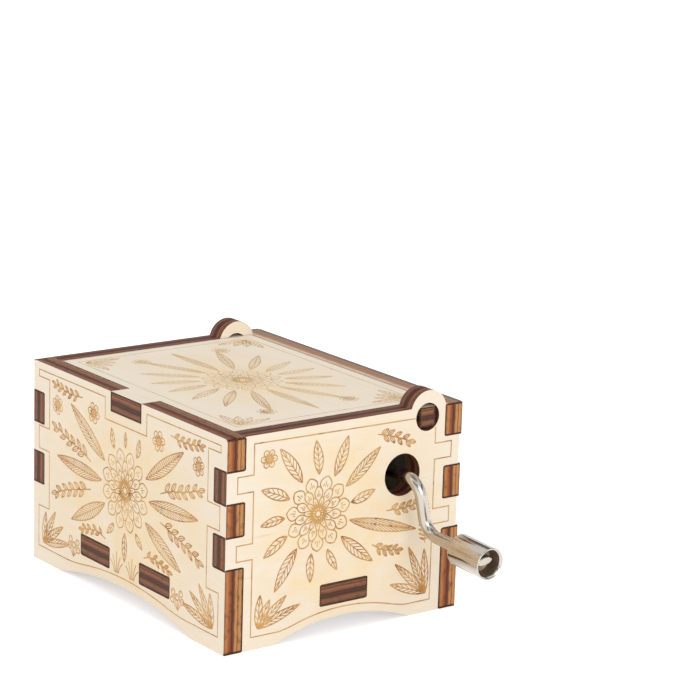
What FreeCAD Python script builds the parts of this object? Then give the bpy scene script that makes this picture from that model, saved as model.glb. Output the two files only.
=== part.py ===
import FreeCAD, Part
import math
import os

# Hand-cranked music box: a finger-jointed plywood case with a pivoting lid around an
# 18-note cylinder movement, driven by a bent-wire crank through a worm.
# Millimetres, +Z up, origin at the middle of the footprint on the surface it stands on.
# The crank leaves through the right side (+X); the lid pivots at the back (+Y).

os.makedirs("parts", exist_ok=True)
Vec = FreeCAD.Vector
AXIS_X = Vec(1, 0, 0)
AXIS_Y = Vec(0, 1, 0)
AXIS_Z = Vec(0, 0, 1)

# Case
case_width = 64.0
case_depth = 50.5
case_height = 38.4
ply = 3.7
joint_gap = 0.04  # laser kerf left at each face of a joint
finger_height = 5.8
corner_round = 0.7
front_arch_half = 22.1
front_arch_rise = 3.05
side_arch_half = 14.7
side_arch_rise = 3.0
floor_height = 5.4  # underside of the floor panel
front_tab_width = 9.7
front_tab_centre = 9.95
side_tab_width = 10.0

# Lid
lid_gap = 0.25  # around the lid, and over its rest in the front notch
lid_tab_width = 10.0
lid_rest_gap = 0.05
pivot_setback = 4.15  # pivot axis to the inner face of the back panel
pivot_width = 3.4
pivot_play = 0.06
swing_gap = 0.28  # between the turning rear edge and the back panel
ear_wall = 2.3
ear_fillet = 1.4

# Crank
crank_y = 12.15
wire_diameter = 2.0
shaft_play = 0.05  # radial, in every bearing
crank_hole_radius = 3.88
arm_standoff = 4.8  # outer face of the right side panel to the arm
arm_length = 9.9
arm_lean = 12.0  # degrees from straight down towards the back
handle_droop = 3.3  # degrees from the crank axis
bend_radius = 3.4
knob_start = 8.9  # along the handle from the arm
knob_length = 8.7
knob_radius = 2.8
knob_bore_radius = 2.2
knob_bore_depth = 3.0
knob_countersink = 0.35
knob_shoulder = 0.7  # bevel of the inner end
peen_width = 3.4
peen_thickness = 1.1
peen_length = 1.5
peen_turn = 24.0  # degrees from level, rising towards the back
peen_gap = 0.15

# Worm drive
gear_module = 0.55
wheel_teeth = 20
wheel_width = 2.8
wheel_hub_radius = 2.6
worm_pitch_radius = 2.1
worm_turns = 2
worm_margin = 0.8  # plain core left of the thread
addendum_factor = 1.0
dedendum_factor = 1.2
flank_angle = 20.0
backlash = 0.34  # shared by both flanks along the pitch line

# Cylinder
tooth_count = 18
tooth_pitch = 1.1
cylinder_x = 9.0
drum_radius = 6.5
drum_wall = 0.8
drum_margin = 0.9
pin_height = 0.8
pin_width = 0.36
pin_steps = 36
pin_bed_gap = 0.7
drum_worm_gap = 1.0
arbor_radius = 1.0
end_float = 0.2  # between a turning face and the lug beside it

# Comb
comb_length = 19.0
comb_base_thickness = 1.6
comb_base_length = 7.0
root_thickness = 0.8
tip_thickness = 0.4
tip_gap = 0.12  # tooth tip to the circle of the pin ends
slot_width = 0.22
tip_relief_width = 0.55
tip_relief_length = 1.0
bass_tooth_length = 12.6
treble_tooth_length = 7.0
comb_side_margin = 0.45
comb_screw_spacing = 11.0
comb_screw_radius = 1.25
comb_screw_head_radius = 2.3
comb_screw_head_height = 1.3
weight_count = 7
weight_length = 2.4
weight_depth = 1.3
weight_setback = 1.4

# Bedplate
bed_thickness = 2.0
bed_border = 2.2
bed_corner = 2.5
bed_window_width = 9.0
bridge_wall = 2.0
lug_thickness = 2.4
lug_radius = 2.6
ring_radius = 2.4
ring_thickness = 0.6
ring_mouth = 1.2
arbor_overhang = 0.6
movement_screw_radius = 1.0
screw_clearance = 0.2
movement_screw_inset = 3.2
movement_head_radius = 2.1
movement_head_height = 1.2
driver_slot_width = 0.5
driver_slot_depth = 0.5

# Derived positions
half_width = case_width / 2
half_depth = case_depth / 2
inner_x = half_width - ply
inner_y = half_depth - ply
floor_top = floor_height + ply
pivot_y = inner_y - pivot_setback
pivot_z = case_height - ply / 2
bed_top = floor_top + bed_thickness
wire_radius = wire_diameter / 2
bore_radius = wire_radius + shaft_play
arbor_bore = arbor_radius + shaft_play
pin_reach = drum_radius + pin_height
wheel_pitch_radius = gear_module * wheel_teeth / 2
worm_tip_radius = worm_pitch_radius + addendum_factor * gear_module
cylinder_z = bed_top + pin_bed_gap + pin_reach
crank_z = cylinder_z + wheel_pitch_radius + worm_pitch_radius
tooth_band = tooth_count * tooth_pitch
drum_rear = crank_y - worm_tip_radius - drum_worm_gap
drum_length = tooth_band + 2 * drum_margin
drum_front = drum_rear - drum_length
comb_middle = drum_rear - drum_length / 2
comb_tip_x = cylinder_x - pin_reach - tip_gap
comb_back_x = comb_tip_x - comb_length
comb_half = tooth_band / 2 + comb_side_margin
bed_comb_z = cylinder_z - comb_base_thickness / 2
front_lug_y = drum_front - end_float - lug_thickness
rear_lug_y = crank_y + wheel_width / 2 + end_float
wheel_tip_radius = wheel_pitch_radius + addendum_factor * gear_module
right_lug_x = cylinder_x + wheel_tip_radius + end_float
left_lug_x = cylinder_x - wheel_tip_radius - end_float - lug_thickness
bed_left = comb_back_x - bed_border / 2
bed_right = right_lug_x + lug_thickness + bed_border
bed_front = front_lug_y - bed_border / 2
bed_rear = rear_lug_y + lug_thickness + bed_border / 2


def export(name, shape):
    shape.exportStep(f"parts/{name}.step")


def box(x_span, y_span, z_span):
    corner = Vec(x_span[0], y_span[0], z_span[0])
    return Part.makeBox(
        x_span[1] - x_span[0], y_span[1] - y_span[0], z_span[1] - z_span[0], corner
    )


def rod(radius, start, end):
    along = end - start
    return Part.makeCylinder(radius, along.Length, start, along)


def tube(outer, inner, start, end):
    return rod(outer, start, end).cut(rod(inner, start, end))


# ---- Case panels ----


def side_finger_spans():
    """Heights at which the side panels' fingers reach the front and back faces."""
    spans = []
    for first in (1, 3):
        top = case_height - first * finger_height
        spans.append((top - finger_height, top))
    return spans


def side_finger_cuts(y_span):
    """Notches at both ends of a front or back panel that the side fingers fill."""
    cuts = []
    for low, high in side_finger_spans():
        for side in (-1, 1):
            x_span = sorted((side * inner_x, side * (half_width + ply)))
            cuts.append(box(x_span, y_span, (low, high)))
    return cuts


def arch(across, half_chord, rise, half_length):
    """Cutter for the shallow arch between two feet, along the panel's thickness."""
    radius = (half_chord**2 + rise**2) / (2 * rise)
    start = across * -half_length
    start.z = rise - radius
    end = across * half_length
    end.z = rise - radius
    return rod(radius, start, end)


def long_panel(outward):
    """Front (-1) or back (+1) panel."""
    y_span = sorted((outward * inner_y, outward * half_depth))
    panel = box((-half_width, half_width), y_span, (0, case_height))
    corners = [
        edge
        for edge in panel.Edges
        if abs(edge.tangentAt(edge.FirstParameter).y) > 0.99
    ]
    panel = panel.makeFillet(corner_round, corners)
    cuts = side_finger_cuts(y_span)
    cuts.append(arch(AXIS_Y, front_arch_half, front_arch_rise, half_depth + ply))
    slot_half = front_tab_width / 2 + joint_gap
    for side in (-1, 1):
        middle = side * front_tab_centre
        x_span = (middle - slot_half, middle + slot_half)
        cuts.append(box(x_span, y_span, (floor_height - joint_gap, floor_top + joint_gap)))
    return panel.cut(cuts)


def front_panel():
    notch_half = lid_tab_width / 2 + lid_gap / 2
    notch = box(
        (-notch_half, notch_half), (-half_depth, -inner_y), (case_height - ply, case_height)
    )
    return long_panel(-1).cut(notch)


def ear(x_span):
    """Ring around the lid pivot, blended into the top edge of the side panel."""
    radius = pivot_width / 2
    radius = math.hypot(radius, ply / 2) + pivot_play + ear_wall
    disc = rod(radius, Vec(x_span[0], pivot_y, pivot_z), Vec(x_span[1], pivot_y, pivot_z))
    rise = case_height - pivot_z
    reach = math.sqrt((radius + ear_fillet) ** 2 - (rise + ear_fillet) ** 2)
    blend_y = pivot_y - reach
    blend_z = case_height + ear_fillet
    touch = radius / (radius + ear_fillet)
    touch_y = pivot_y + (blend_y - pivot_y) * touch
    touch_z = pivot_z + (blend_z - pivot_z) * touch
    web = Part.Face(
        Part.makePolygon(
            [
                Vec(x_span[0], blend_y, case_height),
                Vec(x_span[0], pivot_y, case_height),
                Vec(x_span[0], touch_y, touch_z),
                Vec(x_span[0], blend_y, blend_z),
                Vec(x_span[0], blend_y, case_height),
            ]
        )
    ).extrude(Vec(x_span[1] - x_span[0], 0, 0))
    hollow = rod(
        ear_fillet, Vec(x_span[0], blend_y, blend_z), Vec(x_span[1], blend_y, blend_z)
    )
    return disc.fuse(web.cut(hollow))


def side_panel(outward):
    """Left (-1) or right (+1) panel with fingers, ear, floor slot and arch."""
    x_span = sorted((outward * inner_x, outward * half_width))
    panel = box(x_span, (-inner_y, inner_y), (0, case_height))
    fingers = [
        box(x_span, (-half_depth, half_depth), (low + joint_gap, high - joint_gap))
        for low, high in side_finger_spans()
    ]
    panel = panel.fuse(fingers + [ear(x_span)])
    behind = box(x_span, (inner_y, half_depth), (case_height - finger_height, 2 * case_height))
    hole_radius = math.hypot(pivot_width / 2, ply / 2) + pivot_play
    slot_half = side_tab_width / 2 + joint_gap
    cuts = [
        behind,
        rod(hole_radius, Vec(x_span[0], pivot_y, pivot_z), Vec(x_span[1], pivot_y, pivot_z)),
        arch(AXIS_X, side_arch_half, side_arch_rise, half_width + ply),
        box(x_span, (-slot_half, slot_half), (floor_height - joint_gap, floor_top + joint_gap)),
    ]
    if outward > 0:
        cuts.append(
            rod(
                crank_hole_radius,
                Vec(x_span[0], crank_y, crank_z),
                Vec(x_span[1], crank_y, crank_z),
            )
        )
    return panel.cut(cuts).removeSplitter()


def movement_screw_places():
    """Two opposite corners of the bedplate, clear of the cylinder and the comb bed."""
    inset = movement_screw_inset
    return [(bed_left + inset, bed_rear - inset), (bed_right - inset, bed_front + inset)]


def floor_panel():
    z_span = (floor_height, floor_top)
    panel = box(
        (-inner_x + joint_gap, inner_x - joint_gap),
        (-inner_y + joint_gap, inner_y - joint_gap),
        z_span,
    )
    half_tab = front_tab_width / 2
    tabs = [
        box((middle - half_tab, middle + half_tab), (-half_depth, half_depth), z_span)
        for middle in (-front_tab_centre, front_tab_centre)
    ]
    half_side_tab = side_tab_width / 2
    tabs.append(box((-half_width, half_width), (-half_side_tab, half_side_tab), z_span))
    panel = panel.fuse(tabs).removeSplitter()
    holes = [
        rod(movement_screw_radius + screw_clearance, Vec(x, y, floor_height), Vec(x, y, floor_top))
        for x, y in movement_screw_places()
    ]
    return panel.cut(holes)


def lid_panel():
    """Inset lid: a front tab rests in the front notch, two square tabs turn in the ears."""
    z_span = (case_height - ply + lid_rest_gap, case_height)
    tail = math.sqrt((pivot_setback - swing_gap) ** 2 - (ply / 2) ** 2)
    board = box(
        (-inner_x + lid_gap, inner_x - lid_gap), (-inner_y + lid_gap, pivot_y + tail), z_span
    )
    half_tab = lid_tab_width / 2
    tab = box((-half_tab, half_tab), (-half_depth, 0), z_span)
    pivots = box(
        (-half_width, half_width), (pivot_y - pivot_width / 2, pivot_y + pivot_width / 2), z_span
    )
    return board.fuse([tab, pivots]).removeSplitter()


# ---- Bedplate ----


def lug(axis, middle, length, height):
    """Upright bearing lug along axis, its round head centred on middle."""
    across = AXIS_Z.cross(axis)
    foot = Vec(middle.x, middle.y, floor_top)
    head = Vec(middle.x, middle.y, height)
    left = foot - across * lug_radius
    right = foot + across * lug_radius
    top = Part.Arc(
        head + across * lug_radius, head + AXIS_Z * lug_radius, head - across * lug_radius
    )
    outline = Part.Wire(
        [
            Part.makeLine(left, right),
            Part.makeLine(right, head + across * lug_radius),
            top.toShape(),
            Part.makeLine(head - across * lug_radius, left),
        ]
    )
    return Part.Face(outline).extrude(axis * length)


def crank_lug_places():
    return [Vec(left_lug_x, crank_y, crank_z), Vec(right_lug_x, crank_y, crank_z)]


def arbor_lug_places():
    return [Vec(cylinder_x, front_lug_y, cylinder_z), Vec(cylinder_x, rear_lug_y, cylinder_z)]


def comb_screw_places():
    x = comb_back_x + comb_base_length / 2
    return [(x, comb_middle + side * comb_screw_spacing / 2) for side in (-1, 1)]


def bedplate():
    """Casting: base with a window, comb bridge and four bearing lugs."""
    base = box((bed_left, bed_right), (bed_front, bed_rear), (floor_top, bed_top))
    upright = [
        edge for edge in base.Edges if abs(edge.tangentAt(edge.FirstParameter).z) > 0.99
    ]
    base = base.makeFillet(bed_corner, upright)
    bridge_x = (comb_back_x, comb_back_x + comb_base_length)
    bridge = box(
        bridge_x, (comb_middle - comb_half, comb_middle + comb_half), (floor_top, bed_comb_z)
    )
    tunnel = box(
        bridge_x,
        (comb_middle - comb_half + bridge_wall, comb_middle + comb_half - bridge_wall),
        (bed_top, bed_comb_z - bridge_wall),
    )
    lugs = [lug(AXIS_X, place, lug_thickness, crank_z) for place in crank_lug_places()]
    lugs += [lug(AXIS_Y, place, lug_thickness, cylinder_z) for place in arbor_lug_places()]
    casting = base.fuse([bridge.cut(tunnel)] + lugs)
    window_half = bed_window_width / 2
    window = box(
        (cylinder_x - window_half, cylinder_x + window_half),
        (drum_front + drum_margin, drum_rear - drum_margin),
        (floor_top, bed_top),
    )
    holes = [window]
    for place in crank_lug_places():
        holes.append(rod(bore_radius, place, place + AXIS_X * lug_thickness))
    for place in arbor_lug_places():
        holes.append(rod(arbor_bore, place, place + AXIS_Y * lug_thickness))
    for x, y in comb_screw_places():
        low = Vec(x, y, bed_comb_z - bridge_wall)
        holes.append(rod(comb_screw_radius, low, Vec(x, y, bed_comb_z)))
    for x, y in movement_screw_places():
        holes.append(rod(movement_screw_radius, Vec(x, y, floor_top), Vec(x, y, bed_top)))
    return casting.cut(holes).removeSplitter()


def slotted_screw(top, radius, head_radius, head_height, length, down):
    """Cheese-head screw with its head's seat at top, its shank pointing along down."""
    shank = rod(radius, top, top + down * length)
    head = rod(head_radius, top, top - down * head_height)
    slot_low = min((top - down * head_height).z, (top - down * (head_height - driver_slot_depth)).z)
    half = driver_slot_width / 2
    slot = box(
        (top.x - head_radius, top.x + head_radius),
        (top.y - half, top.y + half),
        (slot_low, slot_low + driver_slot_depth),
    )
    return shank.fuse(head).cut(slot).removeSplitter()


def comb_screws():
    seat_z = bed_comb_z + comb_base_thickness
    length = comb_base_thickness + bridge_wall
    return Part.makeCompound(
        [
            slotted_screw(
                Vec(x, y, seat_z),
                comb_screw_radius,
                comb_screw_head_radius,
                comb_screw_head_height,
                length,
                -AXIS_Z,
            )
            for x, y in comb_screw_places()
        ]
    )


def movement_screws():
    length = ply + bed_thickness - screw_clearance
    return Part.makeCompound(
        [
            slotted_screw(
                Vec(x, y, floor_height),
                movement_screw_radius,
                movement_head_radius,
                movement_head_height,
                length,
                AXIS_Z,
            )
            for x, y in movement_screw_places()
        ]
    )


# ---- Comb ----


def tooth_y(index):
    return comb_middle + (index - (tooth_count - 1) / 2) * tooth_pitch


def tooth_length(place):
    """Free length at a place along the comb, from 0 at the bass end to 1 at the treble."""
    return bass_tooth_length + (treble_tooth_length - bass_tooth_length) * place


def comb():
    """Steel comb: a thick base and tapering teeth whose slots shorten to the treble end."""
    half_base = comb_base_thickness / 2
    half_root = root_thickness / 2
    half_tip = tip_thickness / 2
    base_end = comb_back_x + comb_base_length - half_root
    ramp_end = comb_back_x + comb_base_length
    side = [
        (comb_back_x, -half_base),
        (base_end, -half_base),
        (ramp_end, -half_root),
        (comb_tip_x, -half_tip),
        (comb_tip_x, half_tip),
        (ramp_end, half_root),
        (base_end, half_base),
        (comb_back_x, half_base),
        (comb_back_x, -half_base),
    ]
    profile = [Vec(x, comb_middle - comb_half, cylinder_z + z) for x, z in side]
    blank = Part.Face(Part.makePolygon(profile)).extrude(Vec(0, 2 * comb_half, 0))
    z_span = (cylinder_z - comb_base_thickness, cylinder_z + comb_base_thickness)
    cuts = []
    for gap in range(tooth_count + 1):
        middle = comb_middle + (gap - tooth_count / 2) * tooth_pitch
        depth = tooth_length(gap / tooth_count)
        if 0 < gap < tooth_count:
            y_span = (middle - slot_width / 2, middle + slot_width / 2)
            cuts.append(box((comb_tip_x - depth, comb_tip_x), y_span, z_span))
        relief = tip_relief_width if 0 < gap < tooth_count else 2 * comb_side_margin + slot_width
        y_span = (middle - relief / 2, middle + relief / 2)
        cuts.append(box((comb_tip_x - tip_relief_length, comb_tip_x), y_span, z_span))
    for x, y in comb_screw_places():
        cuts.append(rod(comb_screw_radius, Vec(x, y, z_span[0]), Vec(x, y, z_span[1])))
    return blank.cut(cuts)


def tuning_weights():
    """Lead blocks soldered beneath the bass teeth, deeper for the lower notes."""
    weights = []
    end_x = comb_tip_x - weight_setback
    half = (tooth_pitch - slot_width) / 2
    run = comb_length - comb_base_length
    for index in range(weight_count):
        depth = weight_depth * (1 - 0.5 * index / weight_count)
        length = weight_length * (1 - 0.4 * index / weight_count)
        thin = (root_thickness - tip_thickness) / 2 / run
        under_end = tip_thickness / 2 + thin * weight_setback
        under_start = tip_thickness / 2 + thin * (weight_setback + length)
        outline = [
            (end_x - length, -under_start),
            (end_x, -under_end),
            (end_x, -under_end - depth),
            (end_x - length, -under_end - depth),
            (end_x - length, -under_start),
        ]
        middle = tooth_y(index)
        face = Part.Face(
            Part.makePolygon([Vec(x, middle - half, cylinder_z + z) for x, z in outline])
        )
        weights.append(face.extrude(Vec(0, 2 * half, 0)))
    return Part.makeCompound(weights)


# ---- Cylinder ----


def pin_places():
    """Track and angle of each pin: two voices of an even round."""
    places = []
    for step in range(pin_steps):
        angle = 360.0 * (step + 0.5) / pin_steps
        places.append(((step * 7) % tooth_count, angle))
        if step % 2:
            places.append(((step * 5 + 3) % tooth_count, angle))
    return places


def cylinder_drum():
    start = Vec(cylinder_x, drum_front, cylinder_z)
    end = Vec(cylinder_x, drum_rear, cylinder_z)
    return tube(drum_radius, drum_radius - drum_wall, start, end)


def cylinder_pins():
    """Square steel pin for each note, standing on the sleeve."""
    half = pin_width / 2
    z_span = (cylinder_z + drum_radius, cylinder_z + pin_reach)
    axis_point = Vec(cylinder_x, 0, cylinder_z)
    pins = []
    for track, angle in pin_places():
        middle = tooth_y(track)
        pin = box((cylinder_x - half, cylinder_x + half), (middle - half, middle + half), z_span)
        pin.rotate(axis_point, AXIS_Y, angle)
        pins.append(pin)
    return Part.makeCompound(pins)


def cylinder_core():
    """Filling that carries the sleeve on the arbor, flush with the sleeve's ends."""
    start = Vec(cylinder_x, drum_front, cylinder_z)
    end = Vec(cylinder_x, drum_rear, cylinder_z)
    return tube(drum_radius - drum_wall, arbor_radius, start, end)


def cylinder_arbor():
    start = Vec(cylinder_x, front_lug_y - arbor_overhang, cylinder_z)
    end = Vec(cylinder_x, rear_lug_y + lug_thickness + arbor_overhang, cylinder_z)
    return rod(arbor_radius, start, end)


def spacer_sleeve():
    start = Vec(cylinder_x, drum_rear, cylinder_z)
    end = Vec(cylinder_x, crank_y - wheel_width / 2, cylinder_z)
    return tube(wheel_hub_radius, arbor_radius, start, end)


def wheel_outline(y, turn):
    """Closed outline of the worm wheel's teeth at one end, turned by an angle."""
    pitch_angle = 2 * math.pi / wheel_teeth
    thickness = (math.pi * gear_module - backlash) / 2
    spread = math.tan(math.radians(flank_angle))
    points = []
    for tooth in range(wheel_teeth):
        middle = (tooth + 0.5) * pitch_angle + turn
        for offset, side in (
            (-dedendum_factor * gear_module, -1),
            (addendum_factor * gear_module, -1),
            (addendum_factor * gear_module, 1),
            (-dedendum_factor * gear_module, 1),
        ):
            radius = wheel_pitch_radius + offset
            half = (thickness / 2 - offset * spread) / radius
            angle = middle + side * half
            points.append(
                Vec(
                    cylinder_x + radius * math.sin(angle), y, cylinder_z + radius * math.cos(angle)
                )
            )
    return Part.makePolygon(points + [points[0]])


def worm_wheel():
    """Helical-toothed wheel: its teeth lean by the worm's lead angle."""
    lead_slope = gear_module / (2 * worm_pitch_radius)
    twist = wheel_width * lead_slope / wheel_pitch_radius / 2
    front = crank_y - wheel_width / 2
    rear = crank_y + wheel_width / 2
    wheel = Part.makeLoft([wheel_outline(front, -twist), wheel_outline(rear, twist)], True, True)
    start = Vec(cylinder_x, front, cylinder_z)
    end = Vec(cylinder_x, rear, cylinder_z)
    return wheel.cut(rod(arbor_radius, start, end))


# ---- Crank ----


def arm_direction():
    lean = math.radians(arm_lean)
    return Vec(0, math.sin(lean), -math.cos(lean))


def handle_direction():
    droop = math.radians(handle_droop)
    return AXIS_X * math.cos(droop) + arm_direction() * math.sin(droop)


def arm_top():
    return Vec(half_width + arm_standoff, crank_y, crank_z)


def handle_root():
    return arm_top() + arm_direction() * arm_length


def bent_wire(points, radius, bend):
    """Round wire along straight runs joined by tangent bends."""
    edges = []
    start = points[0]
    for before, corner, after in zip(points, points[1:], points[2:]):
        back = (before - corner).normalize()
        ahead = (after - corner).normalize()
        half_turn = (math.pi - back.getAngle(ahead)) / 2
        reach = bend * math.tan(half_turn)
        bisector = (back + ahead).normalize()
        middle = corner + bisector * (bend / math.cos(half_turn) - bend)
        first = corner + back * reach
        last = corner + ahead * reach
        edges.append(Part.makeLine(start, first))
        edges.append(Part.Arc(first, middle, last).toShape())
        start = last
    edges.append(Part.makeLine(start, points[-1]))
    path = Part.Wire(edges)
    section = Part.Wire([Part.makeCircle(radius, points[0], points[1] - points[0])])
    return path.makePipeShell([section], True, False)


def peen_place():
    """Start of the flattened wire end, just above the floor of the knob's bore."""
    return knob_start + knob_length - knob_bore_depth + peen_gap


def crank_rod():
    """Bent wire: shaft, arm and handle, its end flattened inside the knob."""
    along = handle_direction()
    shaft_start = Vec(left_lug_x - end_float, crank_y, crank_z)
    wire_end = handle_root() + along * (peen_place() + peen_length / 2)
    wire = bent_wire([shaft_start, arm_top(), handle_root(), wire_end], wire_radius, bend_radius)
    flat = box(
        (0, peen_length),
        (-peen_width / 2, peen_width / 2),
        (-peen_thickness / 2, peen_thickness / 2),
    )
    flat.rotate(Vec(0, 0, 0), AXIS_X, peen_turn)
    flat.rotate(Vec(0, 0, 0), AXIS_X.cross(along), handle_droop)
    flat.translate(handle_root() + along * peen_place())
    return wire.fuse(flat)


def crank_knob():
    """Turned knob: bevelled inner end, open bore with a countersunk mouth at the outer end."""
    bore_floor = knob_length - knob_bore_depth
    outline = [
        (0, bore_radius),
        (0, knob_radius - knob_shoulder),
        (knob_shoulder, knob_radius),
        (knob_length, knob_radius),
        (knob_length, knob_bore_radius + knob_countersink),
        (knob_length - knob_countersink, knob_bore_radius),
        (bore_floor, knob_bore_radius),
        (bore_floor, bore_radius),
        (0, bore_radius),
    ]
    face = Part.Face(Part.makePolygon([Vec(x, radius, 0) for x, radius in outline]))
    knob = face.revolve(Vec(0, 0, 0), AXIS_X, 360)
    along = handle_direction()
    knob.rotate(Vec(0, 0, 0), AXIS_X.cross(along), handle_droop)
    knob.translate(handle_root() + along * knob_start)
    return knob


def worm():
    """One-start right-hand worm whose plain core runs on up to the right lug."""
    lead = math.pi * gear_module
    thickness = (lead - backlash) / 2
    spread = math.tan(math.radians(flank_angle))
    core_radius = worm_pitch_radius - dedendum_factor * gear_module
    sunk = core_radius - (core_radius - wire_radius) / 2
    half_root = thickness / 2 + (worm_pitch_radius - sunk) * spread
    half_tip = thickness / 2 - (worm_tip_radius - worm_pitch_radius) * spread
    run = worm_turns * lead
    helix = Part.makeHelix(lead, run, worm_pitch_radius)
    tooth = Part.makePolygon(
        [
            Vec(sunk, 0, -half_root),
            Vec(worm_tip_radius, 0, -half_tip),
            Vec(worm_tip_radius, 0, half_tip),
            Vec(sunk, 0, half_root),
            Vec(sunk, 0, -half_root),
        ]
    )
    thread = helix.makePipeShell([tooth], True, True)
    # Laid along the crank, and turned so that it meets the wheel at the wheel's middle
    thread.rotate(Vec(0, 0, 0), AXIS_Y, 90)
    thread.rotate(Vec(0, 0, 0), AXIS_X, 180 * worm_turns)
    thread.translate(Vec(cylinder_x - run / 2, crank_y, crank_z))
    start = Vec(cylinder_x - run / 2 - worm_margin, crank_y, crank_z)
    end = Vec(right_lug_x - end_float / 2, crank_y, crank_z)
    core = rod(core_radius, start, end)
    return core.fuse(thread).cut(rod(wire_radius, start, end))


def crank_ring():
    """Open retaining ring outside the right lug."""
    start = Vec(right_lug_x + lug_thickness + end_float, crank_y, crank_z)
    ring = tube(ring_radius, wire_radius, start, start + AXIS_X * ring_thickness)
    mouth = box(
        (start.x, start.x + ring_thickness),
        (crank_y - ring_mouth / 2, crank_y + ring_mouth / 2),
        (crank_z, crank_z + 2 * ring_radius),
    )
    return ring.cut(mouth)


nodes = {
    "front_panel": front_panel,
    "back_panel": lambda: long_panel(1),
    "left_side_panel": lambda: side_panel(-1),
    "right_side_panel": lambda: side_panel(1),
    "floor_panel": floor_panel,
    "lid_panel": lid_panel,
    "bedplate": bedplate,
    "movement_screws": movement_screws,
    "comb": comb,
    "comb_screws": comb_screws,
    "tuning_weights": tuning_weights,
    "cylinder_drum": cylinder_drum,
    "cylinder_pins": cylinder_pins,
    "cylinder_core": cylinder_core,
    "cylinder_arbor": cylinder_arbor,
    "spacer_sleeve": spacer_sleeve,
    "worm_wheel": worm_wheel,
    "worm": worm,
    "crank_ring": crank_ring,
    "crank_rod": crank_rod,
    "crank_knob": crank_knob,
}

for name, make in nodes.items():
    shape = make()
    export(name, shape)
    print(f"{name}: {len(shape.Solids)} solids, {shape.Volume:.1f} mm3, valid {shape.isValid()}")
print(f"pivot {pivot_y:.2f} {pivot_z:.2f}, cylinder {cylinder_z:.2f}, crank {crank_z:.2f}")
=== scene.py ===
import bpy
import bmesh
from math import atan2, cos, degrees, hypot, pi, radians, sin, sqrt, tan
from mathutils import Matrix, Vector


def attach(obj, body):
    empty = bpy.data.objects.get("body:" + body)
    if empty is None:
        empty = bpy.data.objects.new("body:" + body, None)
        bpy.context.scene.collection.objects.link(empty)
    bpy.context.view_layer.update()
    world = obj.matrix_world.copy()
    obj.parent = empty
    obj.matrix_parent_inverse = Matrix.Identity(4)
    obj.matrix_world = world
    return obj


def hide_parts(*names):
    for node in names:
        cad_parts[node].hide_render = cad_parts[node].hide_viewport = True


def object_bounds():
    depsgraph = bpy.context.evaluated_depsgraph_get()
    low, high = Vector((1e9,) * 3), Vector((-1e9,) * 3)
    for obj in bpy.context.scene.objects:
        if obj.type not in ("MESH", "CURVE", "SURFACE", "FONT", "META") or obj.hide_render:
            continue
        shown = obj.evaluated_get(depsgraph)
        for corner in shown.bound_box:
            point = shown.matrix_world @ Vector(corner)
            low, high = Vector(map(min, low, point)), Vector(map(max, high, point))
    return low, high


# Hand-cranked plywood music box. The dictionaries hold millimetres and degrees.
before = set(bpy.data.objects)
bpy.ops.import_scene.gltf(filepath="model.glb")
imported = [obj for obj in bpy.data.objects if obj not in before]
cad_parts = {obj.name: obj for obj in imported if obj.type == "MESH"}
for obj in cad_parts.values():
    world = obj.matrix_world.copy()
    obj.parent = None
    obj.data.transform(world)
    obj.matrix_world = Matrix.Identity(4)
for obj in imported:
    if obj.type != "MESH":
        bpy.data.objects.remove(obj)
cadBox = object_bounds()
mm = 0.001
scene = bpy.context.scene
scene.view_settings.view_transform = "Standard"


def newObject(name, data):
    made = bpy.data.objects.new(name, data)
    scene.collection.objects.link(made)
    return made


# camera
cameraSettings = {
    "target": (0, 0, 19.2),
    "azimuth": 53.05,
    "elevation": 13.76,
    "roll": 1.78,
    "distance": 502.5,
    "right": 19.81,
    "up": 24.03,
    "lens": 140.88,
    "sensor": 36,
    "clip": (0.01, 20),  # metres
}


def placeCamera(settings):
    azimuth, elevation, roll = (radians(settings[key]) for key in ("azimuth", "elevation", "roll"))
    back = Vector((sin(azimuth) * cos(elevation), -cos(azimuth) * cos(elevation), sin(elevation)))
    level = Vector((cos(azimuth), sin(azimuth), 0))
    upright = back.cross(level)
    across = level * cos(roll) + upright * sin(roll)
    above = upright * cos(roll) - level * sin(roll)
    place = Vector(settings["target"]) + across * settings["right"]
    place += above * settings["up"] + back * settings["distance"]
    data = bpy.data.cameras.new("camera")
    data.lens = settings["lens"]
    data.sensor_width = settings["sensor"]
    data.sensor_fit = "HORIZONTAL"
    data.clip_start, data.clip_end = settings["clip"]
    camera = newObject("camera", data)
    turn = Matrix((across, above, back)).transposed().to_4x4()
    camera.matrix_world = Matrix.Translation(place * mm) @ turn
    scene.camera = camera


placeCamera(cameraSettings)
print("camera placed")


# colours and shader nodes
def paint(red, green, blue):  # display values 0-255 as a shader colour
    linear = []
    for value in (red / 255, green / 255, blue / 255):
        linear.append(value / 12.92 if value <= 0.04045 else ((value + 0.055) / 1.055) ** 2.4)
    return (*linear, 1)


def shades(*stops):  # places along a ramp, each with its display values
    return [(place, paint(*values)) for place, *values in stops]


def newMaterial(name):
    material = bpy.data.materials.new(name)
    material.use_nodes = True
    tree = material.node_tree
    return material, tree, tree.nodes["Principled BSDF"]


def fill(tree, node, inputs):  # a socket is linked, a number or colour is set
    for name, value in inputs.items():
        if isinstance(value, bpy.types.NodeSocket):
            tree.links.new(value, node.inputs[name])
        else:
            node.inputs[name].default_value = value


def add(tree, kind, inputs=None, **settings):
    node = tree.nodes.new("ShaderNode" + kind)
    for key, value in settings.items():
        setattr(node, key, value)
    fill(tree, node, inputs or {})
    return node


def calc(tree, operation, first, second=0.0, clamp=False):
    return add(tree, "Math", {0: first, 1: second}, operation=operation, use_clamp=clamp).outputs[0]


def spread(tree, value, low, high):  # 0-1 onto low-high
    return add(tree, "MapRange", {"Value": value, "To Min": low, "To Max": high}).outputs[0]


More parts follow.
